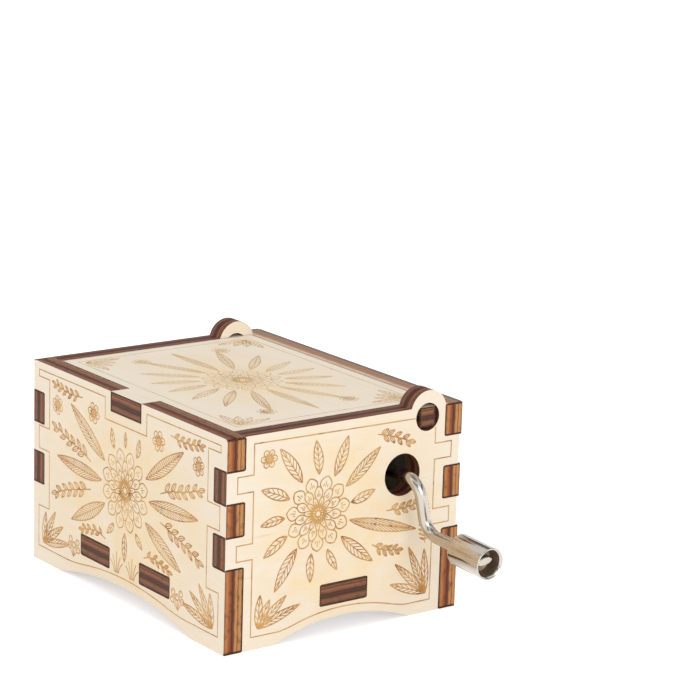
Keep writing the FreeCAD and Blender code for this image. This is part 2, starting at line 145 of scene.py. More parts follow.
def rising(tree, value, low, gain):  # 0 up to a threshold, then rising to 1
    return calc(tree, "MULTIPLY", calc(tree, "SUBTRACT", value, low), gain, True)


def blendColour(tree, factor, first, second, mode="MIX"):
    inputs = {0: factor, 6: first, 7: second}
    return add(tree, "Mix", inputs, data_type="RGBA", blend_type=mode).outputs[2]


def ramp(tree, factor, stops):
    made = add(tree, "ValToRGB", {"Fac": factor})
    band = made.color_ramp
    band.elements.remove(band.elements[1])
    band.elements[0].position, band.elements[0].color = stops[0]
    for position, shade in stops[1:]:
        band.elements.new(position).color = shade
    return made.outputs[0]


def millimetres(tree, location=(0, 0, 0), rotation=(0, 0, 0)):  # object place in mm
    source = add(tree, "TexCoord").outputs["Object"]
    inputs = {"Vector": source, "Location": location, "Rotation": rotation, "Scale": (1 / mm,) * 3}
    return add(tree, "Mapping", inputs).outputs[0]


def noise(tree, place, scale, stretch=(1, 1, 1), detail=3.0, offset=0.0):
    inputs = {"Vector": place, "Scale": stretch, "Location": (offset,) * 3}
    stretched = add(tree, "Mapping", inputs).outputs[0]
    inputs = {"Vector": stretched, "Scale": scale, "Detail": detail}
    return add(tree, "TexNoise", inputs).outputs[0]


def bump(tree, height, distance, strength):
    inputs = {"Height": height, "Distance": distance * mm, "Strength": strength}
    return add(tree, "Bump", inputs).outputs[0]


# finishing of meshes
meshing = {
    "weld": 0.001,  # points closer than this are one
    "crease": 30,
    "flat": 1,
    "sheetFlat": 0.5,
    "chamferFrom": 40,
    "weight": 80,
}


def levelNormals(piece):  # large faces stay flat beside small ones
    level = piece.modifiers.new("level", "WEIGHTED_NORMAL")
    level.weight = meshing["weight"]
    return level


def newPiece(bm, name, material, body, slot, *stoodFor, crease=32):
    bmesh.ops.remove_doubles(bm, verts=bm.verts, dist=meshing["weld"])
    bmesh.ops.recalc_face_normals(bm, faces=bm.faces)
    bmesh.ops.scale(bm, vec=(mm, mm, mm), verts=bm.verts)
    mesh = bpy.data.meshes.new(name)
    bm.to_mesh(mesh)
    bm.free()
    mesh.materials.append(material)
    mesh.shade_smooth()
    mesh.set_sharp_from_angle(angle=radians(crease))
    piece = newObject(name, mesh)
    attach(piece, body)
    if stoodFor:
        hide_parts(*stoodFor)
    levelNormals(piece).keep_sharp = True
    return piece


def breakEdges(node, width):  # small chamfers catch the light along machined edges
    flat = node.modifiers.new("flat", "DECIMATE")
    flat.decimate_type = "DISSOLVE"
    flat.angle_limit = radians(meshing["flat"])
    edge = node.modifiers.new("edge", "BEVEL")
    edge.width = width * mm
    edge.segments = 2
    edge.limit_method = "ANGLE"
    edge.angle_limit = radians(meshing["chamferFrom"])
    levelNormals(node)


def dress(name, material, ease=0):
    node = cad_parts[name]
    node.data.materials.clear()
    node.data.materials.append(material)
    # a node's mesh comes as loose facets
    node.modifiers.new("join", "WELD").merge_threshold = meshing["weld"] * mm
    node.data.shade_smooth()
    if ease:
        breakEdges(node, ease)
    else:
        node.modifiers.new("crease", "EDGE_SPLIT").split_angle = radians(meshing["crease"])


# sizes that several pieces share
caseShape = {
    "ply": 3.7,
    "top": 38.4,
    "pivot": (17.4, 36.575),
    "slotLow": 5.4,
    "slotHigh": 9.1,
    "frontHalf": -cadBox[0][0] / mm,  # half the width
    "frontFingers": [(26.8, 32.6), (15.2, 21.0)],
    "frontSlots": [(-9.95, 9.7), (9.95, 9.7)],  # middle and width
    "frontArch": (22.1, 3.05),  # half width and rise
    "sideHalf": cadBox[1][1] / mm,  # half the depth
    "sideFingers": [(32.6, 38.4), (21.0, 26.8), (0, 15.2)],
    "sideSlots": [(0, 10.0)],
    "sideArch": (14.7, 3.0),
}

# birch plywood
plyLook = {
    "faceDepth": 0.03,
    "fibres": {"x": (0.07, 1, 0.2), "y": (1, 0.07, 0.2)},
    "figures": {"x": (0.35, 1, 1), "y": (1, 0.35, 1)},
    "figureScale": 0.16,
    "threadScale": 3.4,
    "threadShare": 0.2,
    "fleckScale": 1.5,
    "fleckRise": (0.66, 5),  # threshold and gain, as in the other rises
    "fleckShare": 0.4,
    "patchScale": 0.22,
    "patchRange": (-0.5, 1.9),
    "toastGain": 1.9,
    "toastShare": 0.8,
    "bandShift": 0.455,
    "bandScale": 0.5,
    "bandWander": 0.09,  # share of the thickness
    "streakScale": 2.0,
    "streakStretch": (0.14, 0.14, 4),
    "streakDepth": 0.8,
    "sootScale": 0.8,
    "sootRise": (0.52, 2.6),
    "topLightRise": (0.2, 2.5),
    "roughness": (0.5, 0.7),
    "faceSheen": -0.04,
    "grainDepth": 0.03,
    "grainStrength": 0.5,
    "pale": paint(248, 239, 225),
    "warm": paint(245, 230, 208),
    "toast": paint(248, 224, 182),
    "fleck": paint(220, 190, 150),
    "fresh": shades(  # across the edges of the front and back
        (0.0, 92, 58, 38), (0.05, 150, 104, 68), (0.12, 184, 132, 84), (0.22, 172, 118, 72),
        (0.28, 154, 92, 54), (0.36, 142, 80, 48), (0.41, 106, 58, 38), (0.45, 66, 38, 29),
        (0.5, 118, 74, 50), (0.54, 72, 42, 32), (0.585, 176, 128, 86), (0.7, 196, 150, 102),
        (0.755, 118, 76, 48), (0.8, 190, 142, 92), (0.92, 192, 144, 94), (1.0, 84, 52, 36),
    ),
    "burnt": shades(  # across the edges of the sides, floor and lid
        (0.0, 60, 38, 28), (0.06, 108, 76, 60), (0.22, 134, 96, 74), (0.33, 100, 66, 52),
        (0.39, 54, 33, 26), (0.47, 88, 56, 44), (0.54, 56, 35, 28), (0.61, 116, 76, 56),
        (0.76, 150, 106, 78), (0.82, 86, 54, 40), (0.88, 132, 90, 66), (1.0, 66, 42, 30),
    ),
    # painted shade with a purple sheen tint, multiplied over edges that face upwards
    "freshTopShade": paint(204, 194, 206),
    "burntTopShade": paint(250, 240, 246),
    "skyLitTop": shades(  # painted highlight where the top of the back catches the sky, from the lid outwards
        (0.0, 240, 206, 176), (0.1, 222, 182, 150), (0.2, 178, 136, 106), (0.48, 158, 116, 90),
        (0.6, 170, 130, 104), (0.8, 138, 112, 98), (1.0, 100, 78, 68),
    ),
    "soot": paint(58, 35, 27),
    "streak": paint(196, 162, 134),
}


def toastedPatches(tree, place, look, offset, middle, reach):
    # the laser's heat toasts the engraved middle of a panel
    source = add(tree, "TexCoord").outputs["Object"]
    centre, size = [value * mm for value in middle], [value * mm for value in reach]
    inputs = {"Vector": source, "Location": centre, "Scale": size}
    field = add(tree, "Mapping", inputs, vector_type="TEXTURE").outputs[0]
    field = add(tree, "TexGradient", {0: field}, gradient_type="SPHERICAL").outputs[1]
    field = calc(tree, "MULTIPLY", field, look["toastGain"], True)
    patches = noise(tree, place, look["patchScale"], detail=2, offset=offset + 3)
    return calc(tree, "MULTIPLY", field, spread(tree, patches, *look["patchRange"]), True)


def plyFace(tree, place, threads, toasted, look, fibre, offset):
    figure = noise(tree, place, look["figureScale"], look["figures"][fibre], 4, offset)
    face = blendColour(tree, figure, look["pale"], look["warm"])
    face = blendColour(tree, calc(tree, "MULTIPLY", toasted, look["toastShare"]), face, look["toast"])
    face = blendColour(tree, spread(tree, threads, 0, look["threadShare"]), face, look["fleck"])
    flecks = noise(tree, place, look["fleckScale"], look["fibres"][fibre], 2, offset + 9)
    flecks = rising(tree, flecks, *look["fleckRise"])
    return blendColour(tree, calc(tree, "MULTIPLY", flecks, look["fleckShare"]), face, look["fleck"])


def plyEdge(tree, place, depth, streaks, look, offset, bands, top):
    wander = noise(tree, place, look["bandScale"], (1, 1, 0.2), 2, offset)
    band = calc(tree, "ADD", calc(tree, "DIVIDE", depth, caseShape["ply"]), look["bandShift"])
    band = calc(tree, "ADD", band, calc(tree, "MULTIPLY", wander, look["bandWander"]))
    edge = blendColour(tree, streaks, ramp(tree, band, look[bands]), look["streak"], "SOFT_LIGHT")
    soot = noise(tree, place, look["sootScale"], (1, 1, 1.6), 5, offset + 5)
    edge = blendColour(tree, rising(tree, soot, *look["sootRise"]), edge, look["soot"])
    # edges that face upwards get painted shade, or on the back a painted sky highlight
    facing = add(tree, "SeparateXYZ", {0: add(tree, "TexCoord").outputs["Normal"]}).outputs[2]
    paintedTopLight = rising(tree, facing, *look["topLightRise"])
    # the back's top takes a painted highlight in place of its edge bands
    if top == "skyLitTop":
        return blendColour(tree, paintedTopLight, edge, ramp(tree, band, look[top]))
    return blendColour(tree, paintedTopLight, edge, look[top], "MULTIPLY")


def plyMaterial(name, look, turn, shift, fibre, offset, bands, top, middle, reach):
    material, tree, shader = newMaterial(name)
    place = millimetres(tree, (0, 0, shift), turn)
    depth = add(tree, "SeparateXYZ", {0: place}).outputs[2]
    skin = caseShape["ply"] / 2 - look["faceDepth"]
    onFace = calc(tree, "GREATER_THAN", calc(tree, "ABSOLUTE", depth), skin)
    threads = noise(tree, place, look["threadScale"], look["fibres"][fibre], 4, offset)
    streaks = noise(tree, place, look["streakScale"], look["streakStretch"], 5, offset)
    toasted = toastedPatches(tree, place, look, offset, middle, reach)
    face = plyFace(tree, place, threads, toasted, look, fibre, offset)
    edge = plyEdge(tree, place, depth, streaks, look, offset, bands, top)
    rough = spread(tree, threads, *look["roughness"])
    grain = calc(tree, "ADD", threads, calc(tree, "MULTIPLY", streaks, look["streakDepth"]))
    fill(tree, shader, {
        "Base Color": blendColour(tree, onFace, edge, face),
        "Roughness": calc(tree, "ADD", rough, calc(tree, "MULTIPLY", onFace, look["faceSheen"])),
        "Specular IOR Level": 0.3,
        "Normal": bump(tree, grain, look["grainDepth"], look["grainStrength"]),
    })
    return material


quarter = pi / 2
halfWidth, halfDepth, ply = (caseShape[key] for key in ("frontHalf", "sideHalf", "ply"))
pivotY, pivotZ = caseShape["pivot"]
frontMiddle, sideMiddle = halfDepth - ply / 2, halfWidth - ply / 2
floorMiddle = (caseShape["slotLow"] + caseShape["slotHigh"]) / 2
panelLooks = {  # turn, shift, fibre, offset, bands of the edges, painted shade or highlight on the top, middle and reach of the toast
    "front_panel": (
        (quarter, 0, 0), frontMiddle, "x", 0, "fresh", "freshTopShade", (0, -25.2, 19), (34, 2, 23),
    ),
    "back_panel": (
        (quarter, 0, 0), -frontMiddle, "x", 31, "fresh", "skyLitTop", (0, 25.2, 19), (34, 2, 23),
    ),
    "left_side_panel": (
        (0, -quarter, 0), sideMiddle, "y", 67, "burnt", "burntTopShade", (-32, 0, 20), (2, 26, 24),
    ),
    "right_side_panel": (
        (0, -quarter, 0), -sideMiddle, "y", 113, "burnt", "burntTopShade", (32, 0, 20), (2, 26, 24),
    ),
    "floor_panel": (
        (0, 0, 0), -floorMiddle, "x", 151, "burnt", "burntTopShade", (0, 0, 7.25), (1, 1, 1),
    ),
    "lid_panel": (
        (0, 0, 0), -pivotZ, "x", 207, "burnt", "burntTopShade", (0, 0, 38.8), (26, 19, 1.2),
    ),
}
sideShape = {
    "near": 0.01,  # a point this close to an arc or edge lies on it
    "fingerShort": 0.45,  # the rear fingers stop short of the back panel's outer face
    # y, z, radius, foot fillet and the angle at which the ear meets the rear edge
    "wideEar": (17.4, 36.55, 4.8725, 1.4, atan2(2.5532, 4.15)),
    "slimEar": (17.62, 37.49, 3.93, 0.3, 0),
}


def earArcs(ear):  # the ear and the fillet at its foot: centre, radius, first and last angle
    y, z, radius, fillet, rear = ear
    top = caseShape["top"]
    rise = top - z + fillet
    reach = sqrt((radius + fillet) ** 2 - rise ** 2)
    end = atan2(-rise, reach)
    return (
        (Vector((y, z)), radius, end + pi, rear),
        (Vector((y - reach, top + fillet)), fillet, -quarter, end),
    )


def moveArc(point, before, after, near):
    centre, radius, first, last = before
    spoke = point.yz - centre
    angle = atan2(spoke.y, spoke.x)
    low, high = sorted((first, last))
    if abs(spoke.length - radius) > near or not low - near < angle < high + near:
        return None
    share = (angle - first) / (last - first)
    centre, radius, first, last = after
    angle = first + (last - first) * share
    place = centre + Vector((cos(angle), sin(angle))) * radius
    return Vector((point.x, *place))


def slimPlace(shape, point):
    half, near = caseShape["sideHalf"], shape["near"]
    if point.y > half - near:
        return Vector((point.x, half - shape["fingerShort"], point.z))
    for before, after in zip(earArcs(shape["wideEar"]), earArcs(shape["slimEar"])):
        moved = moveArc(point, before, after, near)
        if moved:
            return moved
    return point


def sidePanel(node, name, material, shape):
    bm = bmesh.new()
    bm.from_mesh(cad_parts[node].data)
    bmesh.ops.scale(bm, vec=(1 / mm,) * 3, verts=bm.verts)
    bmesh.ops.remove_doubles(bm, verts=bm.verts, dist=meshing["weld"])
    flat = radians(meshing["sheetFlat"])
    bmesh.ops.dissolve_limit(bm, angle_limit=flat, verts=bm.verts, edges=bm.edges)
    for vert in bm.verts:
        vert.co = slimPlace(shape, vert.co)
    newPiece(bm, name, material, "case", "birch_ply", node)


for name, values in panelLooks.items():
    wood = plyMaterial(name + "_wood", plyLook, *values)
    if "side" in name:
        sidePanel(name, name.replace("_panel", ""), wood, sideShape)
    else:
        dress(name, wood)
print("plywood panels dressed")

# laser lines
lineLook = {
    "height": 0.01,
    "light": paint(223, 173, 104),
    "deep": paint(184, 119, 58),
    "spot": paint(96, 48, 20),
    "lidLight": paint(222, 186, 132),
    "lidDeep": paint(192, 146, 88),
    "char": paint(48, 28, 21),
    "charLight": paint(86, 53, 38),
    "dwellRise": (0.42, 3.2),
    "spotScale": 2.4,
    "spotRise": (0.64, 9),
    "spotShare": 0.6,
    "roughness": (0.6, 0.85),
}


def burntMaterial(name, light, deep, scale):
    material, tree, shader = newMaterial(name)
    place = millimetres(tree)
    dwell = rising(tree, noise(tree, place, scale), *lineLook["dwellRise"])
    tone = blendColour(tree, dwell, light, deep)
    spots = noise(tree, place, scale * lineLook["spotScale"], detail=1, offset=23)
    spots = calc(tree, "MULTIPLY", rising(tree, spots, *lineLook["spotRise"]), lineLook["spotShare"])
    fill(tree, shader, {
        "Base Color": blendColour(tree, spots, tone, lineLook["spot"]),
        "Roughness": spread(tree, dwell, *lineLook["roughness"]),
        "Specular IOR Level": 0.2,
    })
    return material


scorched = burntMaterial("scorched_line", lineLook["light"], lineLook["deep"], 0.3)
faintScorch = burntMaterial("faint_line", lineLook["lidLight"], lineLook["lidDeep"], 0.2)
charred = burntMaterial("charred_line", lineLook["charLight"], lineLook["char"], 0.9)
lineKinds = {  # width and material
    "art": (0.22, scorched),
    "border": (0.21, scorched),
    "lid": (0.17, faintScorch),
    "char": (0.34, charred),
    "tab": (0.26, charred),
}
facePlaces = {  # u axis, v axis, origin
    "front": ((1, 0, 0), (0, 0, 1), (0, -halfDepth, 0)),
    "right": ((0, 1, 0), (0, 0, 1), (halfWidth, 0, 0)),
    "back": ((-1, 0, 0), (0, 0, 1), (0, halfDepth, 0)),
    "left": ((0, -1, 0), (0, 0, 1), (-halfWidth, 0, 0)),
    "lid": ((1, 0, 0), (0, 1, 0), (0, 0, caseShape["top"])),
    "pivotRight": ((0, 1, 0), (0, 0, 1), (halfWidth, pivotY, pivotZ)),
    "pivotLeft": ((0, -1, 0), (0, 0, 1), (-halfWidth, pivotY, pivotZ)),
    "lidTab": ((1, 0, 0), (0, 0, 1), (0, -halfDepth, pivotZ)),
}


def engrave(name, strokes, kind, face, body="case"):  # stroke: points, closed, weight
    width, material = lineKinds[kind]
    data = bpy.data.curves.new(name, "CURVE")
    data.dimensions = "3D"
    data.twist_mode = "Z_UP"
    data.bevel_depth = width / 2
    data.bevel_resolution = 0
    data.resolution_u = 4
    data.use_fill_caps = True
    for points, closed, weight in strokes:
        spline = data.splines.new("NURBS")
        spline.points.add(len(points) - 1)
        for knot, point in zip(spline.points, points):
            knot.co = (*point, 0, 1)
            knot.radius = weight
        spline.use_cyclic_u = closed
        spline.use_endpoint_u = not closed
        spline.order_u = min(4, len(points))
    carrier = bpy.data.objects.new(name + "_curve", data)
    mesh = bpy.data.meshes.new_from_object(carrier)
    bpy.data.objects.remove(carrier)
    bpy.data.curves.remove(data)
    across, up, origin = (Vector(value) for value in facePlaces[face])
    turn = Matrix((across, up, across.cross(up))).transposed().to_4x4()
    flat = Matrix.Diagonal((1, 1, 2 * lineLook["height"] / width, 1))
    mesh.transform(Matrix.Scale(mm, 4) @ Matrix.Translation(origin) @ turn @ flat)
    mesh.materials.clear()
    mesh.materials.append(material)
    piece = newObject(name, mesh)
    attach(piece, body)


def heading(angle):
    return Vector((cos(radians(angle)), sin(radians(angle))))


def smooth(route, steps=7):  # points on a smooth path through the route
    points = [Vector(point) for point in route]
    points = [2 * points[0] - points[1], *points, 2 * points[-1] - points[-2]]
    path = []
    for before, start, end, after in zip(points, points[1:], points[2:], points[3:]):
        for step in range(steps):
            t = step / steps
            path.append(0.5 * (
                2 * start + (end - before) * t
                + (2 * before - 5 * start + 4 * end - after) * t * t
                + (3 * start - before - 3 * end + after) * t ** 3
            ))
    return path + [points[-2]]


def along(path, share):  # point and direction in degrees at a share of a path
    place = share * (len(path) - 1)
    index = min(int(place), len(path) - 2)
    run = path[index + 1] - path[index]
    return path[index] + run * (place - index), degrees(atan2(run.y, run.x))


def line(*points, weight=1.0):
    return [Vector(point) for point in points], False, weight


def ring(centre, radius, knots=8, weight=1.0):  # the curve runs inside its knots
    reach = radius / ((2 + cos(2 * pi / knots)) / 3)
    return [Vector(centre) + heading(360 * k / knots) * reach for k in range(knots)], True, weight


def cubic(points, t):
    a, b, c, d = points
    return a * (1 - t) ** 3 + b * 3 * t * (1 - t) ** 2 + c * 3 * t * t * (1 - t) + d * t ** 3


leafShape = {
    "middle": [(0, 0), (0.3, 0), (0.7, 0.5), (1, 1)],  # shares of the length and of the bend
    "edge": (0, 0.78, 0.6, 0),  # share of the width beside each of them
    "veins": (0.08, 0.74),  # where they start, and how far they spread
    "veinLean": 0.17,
    "veinReach": 0.9,
}
dahliaShape = {  # shares of the radius
    "eyes": (0.17, 0.09),
    "seeds": (0.1, 0.16),
    "petals": (0.18, 0.8, 0.82),  # where they start, and how far their roots and tips spread
    "edge": (0.62, 1.1, 0.5, 0),  # half width from the root to the tip
    "reach": (0.55, 0.985, 1.03),  # of the belly in a petal, of its shoulder and tip
    "creases": (-0.28, 0, 0.28),
    "creaseStart": (1.03, 0.05),
    "creaseEnd": 0.66,
}
blossomShape = {
    "eyes": (0.26, 0.4),  # share of the radius, and of that
    "edge": (0.8, 1.15),  # half width at the root and tip
    "reach": 1.25,
    "creases": (-0.3, 0, 0.3),
    "creaseStart": 1.15,
    "creaseEnd": (0.64, 0.5),
}


def leaf(root, angle, length, width, veins=2, bend=0.0):
    shape, ahead, side = leafShape, heading(angle) * length, heading(angle + 90)
    middle = [Vector(root) + ahead * reach + side * bend * curl for reach, curl in shape["middle"]]
    strokes = [line(*middle, weight=0.8)]
    first, spacing = shape["veins"]
    for hand in (-1, 1):
        edge = [point + side * hand * width * share for point, share in zip(middle, shape["edge"])]
        strokes.append(line(*edge))
        for vein in range(veins):
            share = first + spacing * vein / veins
            start = cubic(middle, share)
            end = cubic(edge, share + shape["veinLean"])
            strokes.append(line(start, start + (end - start) * shape["veinReach"], weight=0.7))
    return strokes


def creases(centre, middle, half, leans, start, end, shorter):  # short rays inside a petal
    rays = [(heading(middle + half * lean), end - shorter * abs(lean)) for lean in leans]
    return [line(centre + ray * start, centre + ray * reach, weight=0.7) for ray, reach in rays]


def dahlia(centre, radius, petals, rings, turn):  # overlapping rings of petals
    shape, centre, half = dahliaShape, Vector(centre), 180 / petals
    eye, pupil = (radius * share for share in shape["eyes"])
    strokes = [ring(centre, eye), ring(centre, pupil, 6, 1.3)]
    for seed in range(petals):
        ray = heading(turn + 360 * seed / petals) * radius
        strokes.append(line(*(centre + ray * share for share in shape["seeds"]), weight=1.2))
    first, roots, tips = shape["petals"]
    belly, shoulder, tip = shape["reach"]
    share, gap = shape["creaseStart"]
    for level in range(rings):
        inner = radius * (first + roots * level / rings)
        outer = radius * (first + tips * (level + 1) / rings)
        length = outer - inner
        reaches = (inner, inner + length * belly, outer * shoulder, outer * tip)
        crease = (inner * share + gap, inner + length * shape["creaseEnd"], length)
        for petal in range(petals):
            middle = turn + half * (level % 2) + 2 * half * petal
            for hand in (-1, 1):
                edge = [heading(middle + hand * half * wide) for wide in shape["edge"]]
                strokes.append(line(*(centre + ray * reach for ray, reach in zip(edge, reaches))))
            strokes += creases(centre, middle, half, shape["creases"], *crease)
    return strokes


def blossom(centre, radius, petals=6, turn=0):
    shape, centre, half = blossomShape, Vector(centre), 180 / petals
    eye, pupil = shape["eyes"]
    inner, outer = radius * eye, radius * shape["reach"]
    root, tip = shape["edge"]
    knots = [(-root, inner), (-tip, outer), (tip, outer), (root, inner)]
    end, shorter = (radius * share for share in shape["creaseEnd"])
    strokes = [ring(centre, inner), ring(centre, inner * pupil, 6, 1.2)]
    for petal in range(petals):
        middle = turn + 2 * half * petal
        edge = [centre + heading(middle + half * share) * reach for share, reach in knots]
        strokes.append(line(*edge))
        start = inner * shape["creaseStart"]
        strokes += creases(centre, middle, half, shape["creases"], start, end, shorter)
    return strokes


def vine(route, pairs, length, width, lean, taper, veins):
    path = smooth(route)
    strokes = [(path, False, 1.0)]
    for pair in range(pairs):
        for hand, step in ((-1, 0.7), (1, 0.25)):
            share = 0.1 + 0.9 * (pair + step) / pairs
            point, angle = along(path, share)
            size = 1 - (1 - taper) * share
            strokes += leaf(point, angle + hand * lean, length * size, width * size, veins, -hand * 0.3)
    point, angle = along(path, 1)
    return strokes + leaf(point, angle, length * taper, width * taper, veins)


def fern(route, leaflets, length, lean):
    path = smooth(route)
    strokes = [(path, False, 1.0)]
    for leaflet in range(leaflets):
        share = 0.08 + 0.92 * leaflet / leaflets
        point, angle = along(path, share)
        size = length * sin(pi * (0.3 + 0.66 * share))
        for hand in (-1, 1):
            ahead = heading(angle + hand * lean) * size
            side = heading(angle + hand * (lean + 90)) * size * 0.17
            for edge in (-1, 1):
                knee = point + ahead * 0.5 + side * edge
                strokes.append(line(point, knee, point + ahead, weight=0.85))
    return strokes


def berries(root, angle, count, reach, size):
    root = Vector(root)
    strokes = []
    for berry in range(count):
        ray = heading(angle + (berry - (count - 1) / 2) * 104 / count)
        distance = reach * (1 if berry % 2 else 0.7)
        centre = root + ray * distance
        glint = [centre + Vector(place) * size for place in ((-0.4, 0.1), (0.1, 0.5))]
        strokes.append(line(root, root + ray * (distance - size), weight=0.8))
        strokes.append(ring(centre, size, 6))
        strokes.append(line(*glint, weight=0.7))
    return strokes


def tuft(root, blades, height, opening):
    root = Vector(root)
    strokes = []
    for blade in range(blades):
        lean = (blade / (blades - 1) - 0.5) * opening
        tall = height * (1 - 0.7 * abs(lean) / opening)
        foot = root + Vector((blade - (blades - 1) / 2, 0)) * 0.3
        knee = foot + heading(90 - lean * 0.5) * tall * 0.6
        strokes.append(line(foot, knee, foot + heading(90 - lean) * tall, weight=0.9))
    return strokes


def mirrored(strokes):
    return [([Vector((-u, v)) for u, v in points], closed, weight) for points, closed, weight in strokes]


def straight(corners, closed=False, kind="border"):  # a bar for each side keeps corners square
    points = [Vector(corner) for corner in corners]
    ends = points[1:] + points[:1] if closed else points[1:]
    strokes = []
    for start, end in zip(points, ends):
        over = (end - start).normalized() * lineKinds[kind][0] / 2
        strokes.append(line(start - over, end + over))
    return strokes


# border lines and charred joints
borderShape = {
    "frontInner": 26.35,
    "frontOuter": 30.1,
    "frontLevels": (2.9, 10.8, 21.9, 26.25, 35.65, 36.95),
    "frontOverArch": 1.65,
    "notch": (6.9, 32.95),
    "sideInner": 19.3,
    "sideFront": 19.7,
    "sideOuter": 23.0,
    "sideBands": [(16.45, 19.3), (28.5, 31.45)],
    "sideLow": 2.35,
    "sideTop": 36.9,
    "sideRearTop": 34.35,
    "sideOverArch": 1.55,
    "ear": (14.6, 36.6),  # where the top line ends at the pivot hole
    "archFoot": 1.0,
    "archKnots": 15,
    "lid": (-26.1, 26.1, -19.3, 18.6),
}
charShape = {
    "out": 0.06,  # from the joint's edge
    "margin": 0.2,  # from the panel's edge
    "open": 0.1,
    "corner": 0.3,
}
tabShape = {
    "inset": 0.13,
    "high": 1.82,
    "pivotHalf": 1.7,
    "lidHalf": 5.0,
}


def archTop(arch, u):  # height of the arch above the ground at a place
    half, rise = arch
    radius = (half ** 2 + rise ** 2) / (2 * rise)
    return sqrt(radius ** 2 - u ** 2) - radius + rise


def archLine(arch, inset, low, left, right):  # over the arch, level over the feet
    foot, knots = arch[0] - borderShape["archFoot"], borderShape["archKnots"]
    curve = []
    for knot in range(knots):
        u = foot * (2 * knot / (knots - 1) - 1)
        curve.append((u, max(low, archTop(arch, u) + inset)))
    strokes = straight([(left, low), curve[0]]) + straight([curve[-1], (right, low)])
    return strokes + [line(*curve)]


def frontBorder(shape, case, notched):
    inner, outer = shape["frontInner"], shape["frontOuter"]
    low, first, second, third, fourth, top = shape["frontLevels"]
    side = [
        (outer, low), (outer, first), (inner, first), (inner, second), (outer, second),
        (outer, third), (inner, third), (inner, fourth), (outer, fourth), (outer, top),
    ]
    strokes = straight(side) + mirrored(straight(side))
    strokes += archLine(case["frontArch"], shape["frontOverArch"], low, -outer, outer)
    if not notched:
        return strokes + straight([(-outer, top), (outer, top)])
    half, deep = shape["notch"]
    return strokes + straight([
        (-outer, top), (-half, top), (-half, deep), (half, deep), (half, top), (outer, top),
    ])


def sideBorder(shape, case):
    front, inner, outer = shape["sideFront"], shape["sideInner"], shape["sideOuter"]
    low, top, rearTop = shape["sideLow"], shape["sideTop"], shape["sideRearTop"]
    steps = [(inner, low)]
    for bottom, above in shape["sideBands"]:
        steps += [(inner, bottom), (outer, bottom), (outer, above), (inner, above)]
    before = [(-front if u == inner else -u, v) for u, v in steps]
    strokes = straight(before + [(-front, top), shape["ear"]]) + straight(steps + [(inner, rearTop)])
    return strokes + archLine(case["sideArch"], shape["sideOverArch"], low, -front, inner)


def charFrame(u0, u1, v0, v1, bare=0):  # bare: the sign of the side without a line
    out, margin, corner = charShape["out"], charShape["margin"], charShape["corner"]
    u0, u1 = u0 - out, u1 + out
    v0, v1 = max(v0 - out / 2, margin), min(v1 + out / 2, caseShape["top"] - margin)
    left = u0 + (charShape["open"] if bare < 0 else corner)
    right = u1 - (charShape["open"] if bare > 0 else corner)
    strokes = [line((left, v), (right, v)) for v in (v0, v1)]
    for u, side in ((u0, -1), (u1, 1)):
        if side != bare:
            strokes.append(line((u, v0 + corner), (u, v1 - corner), weight=0.7))
            for v, inward in ((v0, 1), (v1, -1)):
                turn = [(u - side * corner, v), (u, v), (u, v + inward * corner)]
                strokes.append(line(*turn, weight=0.85))
    return strokes


def charLines(half, fingers, slots):
    strokes = []
    for low, high in fingers:
        for side in (-1, 1):
            near, far = sorted((side * (half - caseShape["ply"]), side * half))
            strokes += charFrame(near, far, low, high, side)
    for middle, width in slots:
        low, high = caseShape["slotLow"], caseShape["slotHigh"]
        strokes += charFrame(middle - width / 2, middle + width / 2, low, high)
    return strokes


def oblong(left, right, low, high, kind):
    return straight([(left, low), (right, low), (right, high), (left, high)], True, kind)


def tabFrame(half):
    u, v = half - tabShape["inset"], tabShape["high"] - tabShape["inset"]
    return oblong(-u, u, -v, v, "tab")


frontChar = charLines(caseShape["frontHalf"], caseShape["frontFingers"], caseShape["frontSlots"])
sideChar = charLines(caseShape["sideHalf"], caseShape["sideFingers"], caseShape["sideSlots"])
for face in ("front", "back"):
    lines = frontBorder(borderShape, caseShape, face == "front")
    engrave(face + "_border", lines, "border", face)
    engrave(face + "_char", frontChar, "char", face)
rightBorder = sideBorder(borderShape, caseShape)
engrave("right_border", rightBorder, "border", "right")
engrave("left_border", mirrored(rightBorder), "border", "left")
for face in ("right", "left"):
    engrave(face + "_char", sideChar, "char", face)
engrave("lid_border", oblong(*borderShape["lid"], "lid"), "lid", "lid", "lid")
for face in ("pivotRight", "pivotLeft"):
    engrave(face + "_char", tabFrame(tabShape["pivotHalf"]), "tab", face, "lid")
engrave("lid_tab_char", tabFrame(tabShape["lidHalf"]), "tab", "lidTab", "lid")
print("borders and joints drawn")

